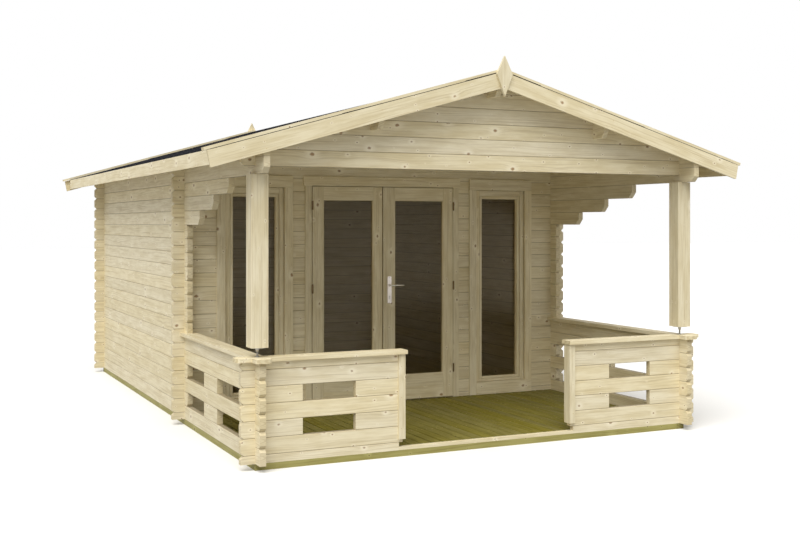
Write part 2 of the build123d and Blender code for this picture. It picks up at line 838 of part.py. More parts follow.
# Long plates on both faces of the right leaf
with BuildPart() as handle_plates:
    for y in (leaf_y0 - plate_t, leaf_y1):
        with BuildSketch(across.offset(-y)):
            with Locations((plate_x, z_log + plate_mid)):
                Rectangle(plate_w, plate_h)
            with Locations((plate_x, z_log + lever_z)):
                Circle(spindle_hole, mode=Mode.SUBTRACT)
        extrude(amount=-plate_t)
handle_plates.part.label = "handle_plates"
export_step(handle_plates.part, "parts/handle_plates.step")

# Lever handle: a spindle through the leaf with a neck and an arm on each side
lever_height = z_log + lever_z
out_y = leaf_y0 - plate_t - lever_reach
in_y = leaf_y1 + plate_t + lever_reach
with BuildPart() as door_lever:
    with BuildSketch(across.offset(-out_y)):
        with Locations((plate_x, lever_height)):
            Circle(spindle_r)
    extrude(amount=out_y - in_y)
    for y0, y1 in (
        (out_y, leaf_y0 - plate_t - lever_gap),
        (leaf_y1 + plate_t + lever_gap, in_y),
    ):
        with BuildSketch(across.offset(-y0)):
            with Locations((plate_x, lever_height)):
                Circle(lever_neck_r)
        extrude(amount=y0 - y1)
    for y in (out_y, in_y - lever_t):
        with BuildSketch(across.offset(-y)):
            with Locations((plate_x + lever_l / 2, lever_height)):
                SlotCenterToCenter(lever_l, 2 * lever_r)
        extrude(amount=-lever_t)
door_lever.part.label = "door_lever"
export_step(door_lever.part, "parts/door_lever.step")

# Tall windows: frames with casings, sashes and panes
sash_y0 = y_room + sash_recess
sash_x0 = window_casing_in + window_casing_w
sash_x1 = window_casing_out - window_casing_w
sash_z0 = z_floor + window_casing_bottom
sash_z1 = z_log + window_head - window_casing_top
with BuildPart() as window_frames:
    with BuildSketch(across.offset(window_casing_t - y_room)):
        panel(-window_casing_out, z_floor, -window_casing_in, z_log + window_head)
        panel(-sash_x1, sash_z0, -sash_x0, sash_z1, Mode.SUBTRACT)
    extrude(amount=-window_casing_t)
    with BuildSketch(across.offset(-y_room)):
        panel(-window_out, window_low, -window_in, window_high)
        panel(-sash_x1, sash_z0, -sash_x0, sash_z1, Mode.SUBTRACT)
    extrude(amount=-window_depth)
    mirror(about=Plane.YZ)
window_frames.part.label = "window_frames"
export_step(window_frames.part, "parts/window_frames.step")

window_glass_y = sash_y0 + sash_glass
glass_in = sash_x0 + sash_side_w
glass_out = sash_x1 - sash_side_w
glass_z0 = sash_z0 + sash_bottom_w
glass_z1 = sash_z1 - sash_top_w
with BuildPart() as window_sashes:
    with BuildSketch(across.offset(-sash_y0)):
        panel(-sash_x1, sash_z0, -sash_x0, sash_z1)
        panel(-glass_out, glass_z0, -glass_in, glass_z1, Mode.SUBTRACT)
    extrude(amount=-sash_t)
    pane(-glass_out, -glass_in, glass_z0, glass_z1, window_glass_y, Mode.SUBTRACT)
    mirror(about=Plane.YZ)
window_sashes.part.label = "window_sashes"
export_step(window_sashes.part, "parts/window_sashes.step")

with BuildPart() as window_panes:
    pane(-glass_out, -glass_in, glass_z0, glass_z1, window_glass_y)
    mirror(about=Plane.YZ)
window_panes.part.label = "window_panes"
export_step(window_panes.part, "parts/window_panes.step")
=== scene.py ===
"""Looks for the log cabin: wood, felt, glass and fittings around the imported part."""
import bmesh
import bpy
from math import cos, pi, radians, sin, tan
from random import Random
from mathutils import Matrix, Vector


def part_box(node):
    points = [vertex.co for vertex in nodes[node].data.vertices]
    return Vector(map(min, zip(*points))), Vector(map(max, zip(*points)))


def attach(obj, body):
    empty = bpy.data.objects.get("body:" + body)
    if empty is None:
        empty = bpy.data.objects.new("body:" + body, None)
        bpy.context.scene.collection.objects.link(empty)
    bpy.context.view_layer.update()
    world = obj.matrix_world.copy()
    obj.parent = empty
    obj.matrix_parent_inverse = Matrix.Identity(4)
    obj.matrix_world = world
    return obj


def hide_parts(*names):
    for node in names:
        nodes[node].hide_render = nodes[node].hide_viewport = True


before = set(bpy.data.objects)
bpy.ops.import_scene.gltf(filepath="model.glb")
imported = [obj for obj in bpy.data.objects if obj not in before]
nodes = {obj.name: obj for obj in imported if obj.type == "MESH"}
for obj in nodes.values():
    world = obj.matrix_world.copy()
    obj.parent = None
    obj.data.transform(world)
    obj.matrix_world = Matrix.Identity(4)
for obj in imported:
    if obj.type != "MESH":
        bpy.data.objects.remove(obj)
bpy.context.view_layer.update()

# Main sizes of the part in metres
COURSE = 0.114
Z_LOG = 0.045
HALF_W = 1.8
LOG_T = 0.044
Y_FRONT = -2.760
Y_ROOM = -0.875
SLOPE = radians(16)
Z_APEX = Z_LOG + 19 * COURSE + HALF_W * tan(SLOPE)
Z_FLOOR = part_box("porch_deck")[1].z
BOARD_T = 0.019
FELT_T = 0.0035
ROOF_Y0, ROOF_Y1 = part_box("ridge_purlin")[0].y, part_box("ridge_purlin")[1].y
EAVE_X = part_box("right_roof_boards")[1].x
FASCIA_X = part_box("eave_boards")[1].x


def srgb(r, g, b):
    """A colour given in 0 to 255 as the linear numbers that shaders use."""
    out = []
    for v in (r, g, b):
        v = v / 255
        out.append(v / 12.92 if v <= 0.04045 else ((v + 0.055) / 1.055) ** 2.4)
    return (*out, 1)


class Nodes:
    """Short ways to add and join shader nodes of one material."""

    def __init__(self, name):
        self.mat = bpy.data.materials.new(name)
        self.mat.use_nodes = True
        self.tree = self.mat.node_tree
        self.tree.nodes.clear()
        self.out = self.add("ShaderNodeOutputMaterial")

    def add(self, kind, **props):
        node = self.tree.nodes.new(kind)
        for key, value in props.items():
            setattr(node, key, value)
        return node

    def put(self, value, socket):
        if isinstance(value, bpy.types.NodeSocket):
            self.tree.links.new(value, socket)
        else:
            socket.default_value = value

    def math(self, op, a, b=0.0):
        node = self.add("ShaderNodeMath", operation=op)
        for value, socket in zip((a, b), node.inputs):
            self.put(value, socket)
        return node.outputs[0]

    def ramp(self, value, low, high, to_low=0.0, to_high=1.0, smooth=True):
        """The value from low to high as one from to_low to to_high, and level outside them."""
        node = self.add("ShaderNodeMapRange", clamp=True)
        node.interpolation_type = "SMOOTHSTEP" if smooth else "LINEAR"
        for v, socket in zip((value, low, high, to_low, to_high), node.inputs):
            self.put(v, socket)
        return node.outputs[0]

    def mix(self, factor, a, b):
        node = self.add("ShaderNodeMix", data_type="RGBA")
        self.put(factor, node.inputs["Factor"])
        sockets = [s for s in node.inputs if s.type == "RGBA"]
        self.put(a, sockets[0])
        self.put(b, sockets[1])
        return [s for s in node.outputs if s.type == "RGBA"][0]

    def join(self, x, y, z=0.0):
        node = self.add("ShaderNodeCombineXYZ")
        for value, socket in zip((x, y, z), node.inputs):
            self.put(value, socket)
        return node.outputs[0]

    def split(self, vector):
        node = self.add("ShaderNodeSeparateXYZ")
        self.put(vector, node.inputs[0])
        return node.outputs

    def channels(self, color):
        node = self.add("ShaderNodeSeparateColor")
        self.put(color, node.inputs[0])
        return node.outputs

    def noise(self, vector, scale, detail, rough=0.5):
        node = self.add("ShaderNodeTexNoise")
        self.put(vector, node.inputs["Vector"])
        node.inputs["Scale"].default_value = scale
        node.inputs["Detail"].default_value = detail
        node.inputs["Roughness"].default_value = rough
        return node.outputs["Fac"]

    def scaled(self, a, b, c, along, across):
        """A place for noise that changes this often in a metre, along and across the grain."""
        return self.join(self.math("MULTIPLY", a, along), self.math("MULTIPLY", b, across),
                         self.math("MULTIPLY", c, across))

    def surface(self, color, roughness, height, depth, metallic=0.0, specular=0.5):
        """Ends the material with one shader. height is a bump of the given depth."""
        shader = self.add("ShaderNodeBsdfPrincipled")
        self.put(color, shader.inputs["Base Color"])
        self.put(roughness, shader.inputs["Roughness"])
        self.put(metallic, shader.inputs["Metallic"])
        self.put(specular, shader.inputs["Specular IOR Level"])
        bump = self.add("ShaderNodeBump")
        bump.inputs["Distance"].default_value = depth
        self.put(height, bump.inputs["Height"])
        self.tree.links.new(bump.outputs[0], shader.inputs["Normal"])
        self.tree.links.new(shader.outputs[0], self.out.inputs["Surface"])


# Colours of bare spruce, treated beams, the deck, and painted shade for the tongues in its grooves
SPRUCE = dict(light=srgb(240, 229, 197), warm=srgb(224, 210, 172), grain=srgb(190, 171, 130),
              knot=srgb(146, 107, 58), halo=srgb(248, 238, 210))
GREEN = dict(light=srgb(172, 164, 94), warm=srgb(156, 147, 76), grain=srgb(118, 108, 50),
             knot=srgb(84, 66, 32), halo=srgb(180, 172, 104))
OLIVE = dict(light=srgb(137, 129, 58), warm=srgb(124, 115, 46), grain=srgb(92, 83, 31),
             knot=srgb(76, 62, 26), halo=srgb(143, 135, 64))
SHADED = dict(light=srgb(56, 50, 26), warm=srgb(48, 42, 22), grain=srgb(36, 31, 16),
              knot=srgb(30, 24, 12), halo=srgb(56, 50, 26))
SEAM = srgb(104, 84, 52)
X, Y, Z = 0, 1, 2

# Knots: length and height of the grid cells, share of empty cells, largest radius, halo in radii
BIG_KNOTS = (0.40, COURSE, 0.36, 0.0125, 4.5)
PIN_KNOTS = (0.16, 0.06, 0.52, 0.0052, 3.4)
# Places along the log count for less, so knots are longer that way, and their rims are uneven
KNOT_SQUASH = 0.7
KNOT_WOBBLE = 0.9
KNOT_NOISE = 70.0
HALO_SHARE = 0.75
CORE_SHARE = 0.82

# Grain: how often each pattern changes in a metre, along and across
LINES_ALONG, LINES_ACROSS = 1.3, 95.0
FINE_ALONG, FINE_ACROSS = 14.0, 420.0
PATCH_ALONG, PATCH_ACROSS = 3.4, 20.0
SLOW_ALONG, SLOW_ACROSS = 1.1, 7.0
# Grain lines wander slowly, and swing round knots by a share that fades with distance
SLOW_REACH = 7.0
SWING_REACH = 260.0
SWING_FADE = -34.0
EULER = 2.718
# Rings on end grain, and the dark line between two logs
RING_RATE = 1500.0
SEAM_W = 0.0035
SEAM_SHARE = 0.62


def knot_layer(n, a, b, c, cell_a, cell_b, empty, largest, spread):
    """Knots on a loose grid along the log, measured in metres from their middles."""
    gx = n.math("DIVIDE", a, cell_a)
    gy = n.math("DIVIDE", n.math("ADD", b, c), cell_b)
    cells = n.add("ShaderNodeTexVoronoi", voronoi_dimensions="2D", feature="F1")
    n.put(n.join(gx, gy), cells.inputs["Vector"])
    cells.inputs["Scale"].default_value = 1.0
    cells.inputs["Randomness"].default_value = 0.9
    middle = n.split(cells.outputs["Position"])
    da = n.math("MULTIPLY", n.math("SUBTRACT", gx, middle[0]), cell_a * KNOT_SQUASH)
    db = n.math("MULTIPLY", n.math("SUBTRACT", gy, middle[1]), cell_b)
    dist = n.math("SQRT", n.math("ADD", n.math("MULTIPLY", da, da), n.math("MULTIPLY", db, db)))
    pick = n.channels(cells.outputs["Color"])[0]
    radius = n.ramp(pick, empty, 1.0, 0.0, largest, smooth=False)
    wobble = n.noise(n.join(a, b, c), KNOT_NOISE, 2.0)
    uneven = n.math("MULTIPLY", n.math("SUBTRACT", wobble, 0.5), largest * KNOT_WOBBLE)
    dist_w = n.math("ADD", dist, uneven)
    present = n.ramp(radius, 0.12 * largest, 0.25 * largest)
    rim = n.math("SUBTRACT", dist_w, radius)
    core = n.math("MULTIPLY", n.ramp(rim, -0.5 * largest, 0.3 * largest, 1.0, 0.0), present)
    wide = n.math("MULTIPLY", n.math("ADD", radius, 0.0005), spread)
    halo = n.math("MULTIPLY", n.ramp(dist_w, radius, wide, 1.0, 0.0), present)
    return dist, radius, core, halo


def wood(name, along, colors=SPRUCE, rows=None, tilt=0.0, seed=0.0, sheen=0.3):
    """Planed wood with its grain along one axis, which tilt turns about Y into the roof slope.
    rows = (offset, pitch) splits a wall into logs that differ, else the mesh value board does."""
    n = Nodes(name)
    coords = n.add("ShaderNodeTexCoord")
    place = coords.outputs["Object"]
    facing = coords.outputs["Normal"]
    if tilt:
        turns = []
        for vector in (place, facing):
            turn = n.add("ShaderNodeVectorRotate", rotation_type="Y_AXIS")
            n.put(vector, turn.inputs["Vector"])
            turn.inputs["Angle"].default_value = tilt
            turns.append(turn.outputs[0])
        place, facing = turns
    sep = n.split(place)
    others = [axis for axis in (X, Y, Z) if axis != along]
    a = sep[along]
    b = sep[others[1]]
    c = sep[others[0]]
    if rows:
        offset, pitch = rows
        log_place = n.math("DIVIDE", n.math("SUBTRACT", sep[Z], offset), pitch)
        in_row = n.math("FRACT", log_place)
        edge = n.math("MINIMUM", in_row, n.math("SUBTRACT", 1.0, in_row))
        wall = n.math("MULTIPLY", n.math("FLOOR", n.math("MULTIPLY", c, 0.8)), 17.0)
        ident = n.math("ADD", n.math("ADD", n.math("FLOOR", log_place), seed), wall)
    else:
        attribute = n.add("ShaderNodeAttribute", attribute_name="board")
        ident = n.math("ADD", attribute.outputs["Fac"], seed)
    white = n.add("ShaderNodeTexWhiteNoise", noise_dimensions="1D")
    n.put(ident, white.inputs["W"])
    r0, r1, r2 = n.channels(white.outputs["Color"])[:3]
    # Each log starts its pattern elsewhere
    a1 = n.math("ADD", a, n.math("MULTIPLY", r0, 37.0))
    b1 = n.math("ADD", b, n.math("MULTIPLY", r1, 11.0))
    knots = [knot_layer(n, a1, b1, c, *sizes) for sizes in (BIG_KNOTS, PIN_KNOTS)]
    dist, radius = knots[0][:2]
    # Grain lines swing round the knots
    swing = n.math("MULTIPLY", n.math("POWER", EULER, n.math("MULTIPLY", dist, SWING_FADE)),
                   n.math("MULTIPLY", radius, SWING_REACH))
    slow = n.noise(n.join(n.math("MULTIPLY", a1, SLOW_ALONG),
                          n.math("MULTIPLY", b1, SLOW_ACROSS), c), 1.0, 1.0)
    across = n.math("ADD", n.math("MULTIPLY", b1, LINES_ACROSS),
                    n.math("MULTIPLY", slow, SLOW_REACH))
    lines = n.noise(n.join(n.math("MULTIPLY", a1, LINES_ALONG), n.math("ADD", across, swing),
                           n.math("MULTIPLY", c, LINES_ACROSS)), 1.0, 3.0, 0.6)
    fine = n.noise(n.scaled(a1, b1, c, FINE_ALONG, FINE_ACROSS), 1.0, 2.0)
    patch = n.noise(n.scaled(a1, b1, c, PATCH_ALONG, PATCH_ACROSS), 1.0, 3.0, 0.6)
    color = n.mix(n.ramp(patch, 0.3, 0.72), colors["light"], colors["warm"])
    color = n.mix(n.ramp(lines, 0.46, 0.72, 0.0, 0.5), color, colors["grain"])
    color = n.mix(n.ramp(fine, 0.45, 0.8, 0.0, 0.16), color, colors["grain"])
    for _, _, core, halo in knots:
        color = n.mix(n.math("MULTIPLY", halo, HALO_SHARE), color, colors["halo"])
        color = n.mix(n.math("MULTIPLY", core, CORE_SHARE), color, colors["knot"])
    # End grain: rings round a pith near the middle of each log
    end = n.ramp(n.math("ABSOLUTE", n.split(facing)[along]), 0.55, 0.75)
    if rows:
        off_pith = n.math("MULTIPLY", n.math("SUBTRACT", in_row, 0.5), pitch)
    else:
        off_pith = n.math("MULTIPLY", n.math("SINE", n.math("MULTIPLY", b, 40.0)), 0.02)
    sway = n.math("ADD", n.math("FRACT", n.math("MULTIPLY", c, 3.1)), 0.2)
    span = n.math("ADD", n.math("MULTIPLY", off_pith, off_pith), n.math("MULTIPLY", sway, 0.002))
    rings = n.math("SINE", n.math("MULTIPLY", n.math("SQRT", span), RING_RATE))
    end_color = n.mix(n.ramp(rings, -0.6, 0.9, 0.0, 0.5), colors["warm"], colors["grain"])
    color = n.mix(end, color, end_color)
    # Logs differ a little in tone
    tone = n.add("ShaderNodeHueSaturation")
    n.put(color, tone.inputs["Color"])
    n.put(n.ramp(r2, 0.0, 1.0, 0.95, 1.02, smooth=False), tone.inputs["Value"])
    n.put(n.ramp(r0, 0.0, 1.0, 0.88, 1.04, smooth=False), tone.inputs["Saturation"])
    color = tone.outputs[0]
    if rows:
        seam = n.ramp(edge, 0.0, SEAM_W / pitch, SEAM_SHARE, 0.0)
        color = n.mix(seam, color, SEAM)
    height = n.math("ADD", n.math("MULTIPLY", lines, 0.4), n.math("MULTIPLY", fine, 0.25))
    n.surface(color, roughness=n.ramp(lines, 0.2, 0.8, 0.52, 0.7), specular=sheen,
              height=height, depth=0.0006)
    return n.mat


def steel(name, color, roughness):
    """Satin metal with fine brushing."""
    n = Nodes(name)
    coords = n.add("ShaderNodeTexCoord")
    brushed = n.noise(coords.outputs["Object"], 900.0, 2.0)
    n.surface(color, roughness=n.ramp(brushed, 0.3, 0.7, roughness - 0.06, roughness + 0.08),
              metallic=1.0, height=brushed, depth=0.00005)
    return n.mat


def felt_material():
    """Black roofing felt with mineral grit and a faint cloudy bloom."""
    n = Nodes("roof_felt")
    coords = n.add("ShaderNodeTexCoord")
    grit = n.noise(coords.outputs["Object"], 700.0, 2.0, 0.7)
    cloud = n.noise(coords.outputs["Object"], 3.0, 3.0)
    color = n.mix(n.ramp(grit, 0.45, 0.78), srgb(14, 15, 20), srgb(34, 35, 44))
    color = n.mix(n.ramp(cloud, 0.35, 0.7, 0.0, 0.3), color, srgb(22, 23, 32))
    n.surface(color, roughness=0.95, specular=0.03, height=grit, depth=0.001)
    return n.mat


def glass_material():
    """Clear glass: sees through, and mirrors more at a flat angle."""
    n = Nodes("pane_glass")
    clear = n.add("ShaderNodeBsdfTransparent")
    clear.inputs[0].default_value = srgb(242, 240, 232)
    gloss = n.add("ShaderNodeBsdfGlossy")
    gloss.inputs["Color"].default_value = srgb(250, 236, 212)
    gloss.inputs["Roughness"].default_value = 0.24
    fresnel = n.add("ShaderNodeFresnel")
    fresnel.inputs["IOR"].default_value = 1.34
    mix = n.add("ShaderNodeMixShader")
    n.put(fresnel.outputs[0], mix.inputs[0])
    n.put(clear.outputs[0], mix.inputs[1])
    n.put(gloss.outputs[0], mix.inputs[2])
    n.put(mix.outputs[0], n.out.inputs["Surface"])
    return n.mat


SIDE_ROWS = (Z_LOG, COURSE)
FRONT_ROWS = (Z_LOG - COURSE / 2, COURSE)
logs_y = wood("spruce_logs_sides", Y, rows=SIDE_ROWS)
logs_x = wood("spruce_logs_fronts", X, rows=FRONT_ROWS, seed=50.0)
board_x = wood("spruce_along_x", X, seed=3.0)
board_y = wood("spruce_along_y", Y, seed=5.0)
board_z = wood("spruce_along_z", Z, seed=9.0)
left_slope = wood("spruce_left_slope", X, tilt=SLOPE, seed=13.0)
right_slope = wood("spruce_right_slope", X, tilt=-SLOPE, seed=17.0)
green_x = wood("treated_along_x", X, GREEN, seed=21.0)
green_y = wood("treated_along_y", Y, GREEN, seed=23.0)
deck_wood = wood("treated_deck", Y, OLIVE, seed=25.0, sheen=0.08)
# Painted shade: the tongues under floor grooves get this dark wood in place of the shade in the gaps
painted_shade_wood = wood("painted_shade_tongues", Y, SHADED, seed=27.0, sheen=0.05)
satin = steel("satin_steel", srgb(206, 198, 190), 0.38)
bright = steel("bright_steel", srgb(226, 224, 216), 0.28)
zinc = steel("zinc_steel", srgb(176, 174, 168), 0.42)
screw_steel = steel("screw_steel", srgb(206, 186, 140), 0.45)
dark_steel = steel("dark_steel", srgb(126, 108, 80), 0.55)
felt = felt_material()
glass = glass_material()


def give(names, material):
    """The CAD nodes named get this material in every slot."""
    for name in names:
        for slot in nodes[name].material_slots:
            slot.material = material


give(["left_wall", "right_wall", "left_top_logs", "right_top_logs",
      "left_side_railing", "right_side_railing"], logs_y)
give(["rear_wall", "porch_gable", "front_wall_gable", "left_front_wall", "right_front_wall",
      "left_front_railing", "right_front_railing"], logs_x)
give(["front_caps", "entrance_sill", "door_head", "door_threshold"], board_x)
give(["side_caps", "ridge_purlin", "side_purlins", "eave_boards"], board_y)
give(["entrance_trims", "porch_posts", "finials", "door_jambs"], board_z)
give(["left_verge_laths", "left_bargeboards"], left_slope)
give(["right_verge_laths", "right_bargeboards"], right_slope)
give(["foundation_cross_beams"], green_x)
give(["foundation_side_beams"], green_y)
give(["left_leaf_glass", "right_leaf_glass", "window_panes"], glass)


class Pieces:
    """Gathers boards, plates and turned forms as one mesh, with a number for each of them."""

    def __init__(self):
        self.points = []
        self.faces = []
        self.numbers = []
        self.slots = []
        self.count = 0

    def add(self, points, faces, slot=0):
        first = len(self.points)
        self.points += points
        for face in faces:
            self.faces.append([first + i for i in face])
            self.numbers.append(float(self.count))
            self.slots.append(slot)
        self.count += 1

    def board(self, x, y, z, slot=0, edge=0.0015, place=None):
        """A board between pairs of x, y and z, with a small chamfer on every edge."""
        sides = [sorted(pair) for pair in (x, y, z)]

        def point(corner, face_axis):
            out = []
            for axis in (X, Y, Z):
                inward = 0.0 if axis == face_axis else edge * (1 - 2 * corner[axis])
                out.append(sides[axis][corner[axis]] + inward)
            return place(*out) if place else tuple(out)

        corners = [(i, j, k) for i in (0, 1) for j in (0, 1) for k in (0, 1)]
        points = [point(corner, axis) for corner in corners for axis in (X, Y, Z)]

        def index(corner, axis):
            return corners.index(tuple(corner)) * 3 + axis

        faces = [[index(corner, axis) for axis in (X, Y, Z)] for corner in corners]
        for axis in (X, Y, Z):
            p, q = [other for other in (X, Y, Z) if other != axis]
            for side in (0, 1):
                loop = []
                for i, j in ((0, 0), (1, 0), (1, 1), (0, 1)):
                    corner = [0, 0, 0]
                    corner[axis], corner[p], corner[q] = side, i, j
                    loop.append(index(corner, axis))
                faces.append(loop)
            for i in (0, 1):
                for j in (0, 1):
                    near, far = [0, 0, 0], [0, 0, 0]
                    near[axis], near[p], near[q] = 0, i, j
                    far[axis], far[p], far[q] = 1, i, j
                    faces.append([index(near, p), index(far, p), index(far, q), index(near, q)])
        self.add(points, faces, slot)

    def loft(self, loops, slot=0):
        """A closed form through loops of points, capped at both ends."""
        size = len(loops[0])
        points = [point for loop in loops for point in loop]
        faces = [list(range(size)), [len(points) - size + i for i in range(size)]]
        for ring in range(len(loops) - 1):
            for i in range(size):
                j = (i + 1) % size
                low = ring * size
                faces.append([low + i, low + j, low + size + j, low + size + i])
        self.add(points, faces, slot)

    def turned(self, profile, axis, centre, sides, slot=0):
        """A form turned about an axis through centre. profile lists (radius, place on the axis)."""
        p, q = [other for other in (X, Y, Z) if other != axis]
        loops = []
        for radius, along in profile:
            loop = []
            for i in range(sides):
                point = list(centre)
                point[axis] += along
                point[p] += radius * cos(2 * pi * i / sides)
                point[q] += radius * sin(2 * pi * i / sides)
                loop.append(tuple(point))
            loops.append(loop)
        self.loft(loops, slot)

    def plate(self, outline, y0, y1, edge, slot=0):
        """A flat plate facing -Y or +Y with softened rims. outline lists (x, z) round its middle."""
        mid_x = sum(x for x, z in outline) / len(outline)
        mid_z = sum(z for x, z in outline) / len(outline)
        loops = []
        for y, inset in ((y0, edge), (y0 + edge, 0.0), (y1 - edge, 0.0), (y1, edge)):
            loop = []
            for x, z in outline:
                reach = max(abs(x - mid_x), abs(z - mid_z))
                share = 1 - inset / reach
                loop.append((mid_x + (x - mid_x) * share, y, mid_z + (z - mid_z) * share))
            loops.append(loop)
        self.loft(loops, slot)

    def finish(self, name, materials, body, slot, *replaced):
        """Makes the mesh, which rides on a body and may stand for CAD nodes."""
        mesh = bpy.data.meshes.new(name)
        mesh.from_pydata(self.points, [], self.faces)
        for material in materials:
            mesh.materials.append(material)
        mesh.polygons.foreach_set("material_index", self.slots)
        board = mesh.attributes.new("board", "FLOAT", "FACE")
        board.data.foreach_set("value", self.numbers)
        form = bmesh.new()
        form.from_mesh(mesh)
        bmesh.ops.recalc_face_normals(form, faces=form.faces)
        form.to_mesh(mesh)
        form.free()
        mesh.shade_smooth()
        mesh.set_sharp_from_angle(angle=radians(32))
        obj = bpy.data.objects.new(name, mesh)
        bpy.context.collection.objects.link(obj)
        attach(obj, body)
        if replaced:
            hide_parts(*replaced)


# Heads of the screws in wood and the nails in felt gather in one mesh
screws = Pieces()
HEAD_R = 0.0032
HEAD_PROUD = 0.0006


def screw(axis, centre, out):
    """A sunk screw head with a small recess. out is -1 or 1, the way that it faces."""
    profile = [(HEAD_R * 0.8, -0.002), (HEAD_R, 0.0), (HEAD_R * 0.9, 0.0005),
               (HEAD_R * 0.35, HEAD_PROUD), (HEAD_R * 0.3, -0.0006)]
    screws.turned([(r, out * d) for r, d in profile], axis, centre, 10)


# Floor boards of the porch and the room, with grooves between them
DECK_PITCH = 0.0878
DECK_GAP = 0.011
FLOOR_GAP = 0.003
DECK_GROOVE = 0.004
FLOOR_GROOVE = 0.0012
TONGUE_DEPTH = 0.009
FINE_EDGE = 0.0002
DECK_SCREWS = (0.22, 0.78)


def floor_boards(node, materials, slot, gap, groove, joists):
    """Boards over the box of a node, with screws in them at each joist."""
    low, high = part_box(node)
    count = round((high.x - low.x) / DECK_PITCH)
    pitch = (high.x - low.x) / count
    pieces = Pieces()
    for i in range(count):
        x = low.x + i * pitch
        pieces.board((x + gap / 2, x + pitch - gap / 2), (low.y, high.y), (low.z, high.z),
                     edge=groove)
        # Tongue that closes the groove from below, coloured with painted shade, dark like the shade
        # deep in the groove
        pieces.board((x - gap / 2, x + gap / 2), (low.y, high.y), (low.z, high.z - TONGUE_DEPTH),
                     1, FINE_EDGE)
        for y in joists:
            for share in DECK_SCREWS:
                screw(Z, (x + share * pitch, y, high.z), 1)
    pieces.finish(node + "_planks", materials, "cabin", slot, node)


JOISTS = 4
JOIST_START = 0.07
JOIST_PITCH = 0.48
porch_joists = [Y_FRONT + JOIST_START + i * JOIST_PITCH for i in range(JOISTS)]
# On both floors the tongues take painted shade, the dark wood in slot 1
floor_boards("porch_deck", [deck_wood, painted_shade_wood], "treated_wood", DECK_GAP, DECK_GROOVE,
             porch_joists)
floor_boards("room_floor", [board_y, painted_shade_wood], "spruce", FLOOR_GAP, FLOOR_GROOVE, [])


# Roof boards and felt in the frame of a slope: u down the slope, y, and w square to it
def on_slope(side):
    """Turns (u, y, w) of the slope on this side into a place of the part."""
    def place(u, y, w):
        return (side * (u * cos(SLOPE) + w * sin(SLOPE)), y, Z_APEX - u * sin(SLOPE) + w * cos(SLOPE))
    return place


ROOF_PITCH = 0.0966
RIDGE_GAP = 0.001
JOINT_HALF = 0.0005
ROOF_TONGUE_HALF = 0.001
ROOF_TONGUE_LOW = 0.006
ROOF_CHAMFER = 0.003


def roof_boards(side, node, material):
    """Boards from the ridge to the eave, with a tongue between each two."""
    place = on_slope(side)
    count = round((ROOF_Y1 - ROOF_Y0) / ROOF_PITCH)
    pitch = (ROOF_Y1 - ROOF_Y0) / count
    u_end = (EAVE_X - BOARD_T * sin(SLOPE)) / cos(SLOPE)
    pieces = Pieces()
    for i in range(count):
        y = ROOF_Y0 + i * pitch
        pieces.board((RIDGE_GAP, u_end), (y + JOINT_HALF, y + pitch - JOINT_HALF), (0.0, BOARD_T),
                     edge=ROOF_CHAMFER, place=place)
        pieces.board((RIDGE_GAP, u_end), (y - ROOF_TONGUE_HALF, y + ROOF_TONGUE_HALF),
                     (ROOF_TONGUE_LOW, BOARD_T), edge=FINE_EDGE, place=place)
    pieces.finish(node + "_planks", [material], "cabin", "spruce", node)


roof_boards(-1, "left_roof_boards", left_slope)
roof_boards(1, "right_roof_boards", right_slope)

FELT_OVER = 0.020
FELT_EDGE = ROOF_Y0 - FELT_OVER
FELT_LAP = 0.08
FELT_STEP = 0.12
FELT_COLUMNS = 9
FELT_WAVE = 0.0006
felt_rng = Random(11)


def felt_strip(pieces, place, u0, u1, lift0, lift1):
    """A strip of felt along the whole roof, slightly wavy. Each lift says how high an edge lies."""
    y0, y1 = FELT_EDGE, -FELT_EDGE
    phases = [felt_rng.uniform(0, 2 * pi) for _ in range(3)]
    count_y = round((y1 - y0) / FELT_STEP)
    top, under = [], []
    for i in range(count_y + 1):
        y = y0 + (y1 - y0) * i / count_y
        for j in range(FELT_COLUMNS + 1):
            share = j / FELT_COLUMNS
            u = u0 + (u1 - u0) * share
            # Gentle waves that die away at the rims
            wave = sin(y * 5.3 + phases[0]) * sin(u * 7 + phases[1])
            wave = wave + sin(y * 13 + u * 4 + phases[2])
            calm = min(1.0, 6 * share, 6 * (1 - share), i / 3, (count_y - i) / 3)
            low = BOARD_T + lift0 + (lift1 - lift0) * share ** 4
            under.append(place(u, y, low))
            top.append(place(u, y, low + FELT_T + FELT_WAVE * wave * calm))
    row = FELT_COLUMNS + 1
    size = len(top)
    faces = []
    for i in range(count_y):
        for j in range(FELT_COLUMNS):
            a = i * row + j
            faces.append([a, a + 1, a + row + 1, a + row])
            faces.append([size + a, size + a + row, size + a + row + 1, size + a + 1])
    rim = list(range(row)) + [i * row + FELT_COLUMNS for i in range(1, count_y + 1)]
    rim += [count_y * row + j for j in range(FELT_COLUMNS - 1, -1, -1)]
    rim += [i * row for i in range(count_y - 1, 0, -1)]
    for a, b in zip(rim, rim[1:] + rim[:1]):
        faces.append([a, b, size + b, size + a])
    pieces.add(top + under, faces)


FELT_SHORT = 0.001
FELT_END = FASCIA_X / cos(SLOPE) - BOARD_T * tan(SLOPE) - FELT_SHORT
FELT_JOIN = 1.22
RIDGE_FELT = 0.32
RIDGE_START = 0.004
NAIL_INSET = 0.03
NAIL_START = 0.12
NAIL_PITCH = 0.1215
NAILS = 48
NAIL_HEAD = [(0.004, -0.001), (0.0045, 0.0006), (0.003, 0.0012)]


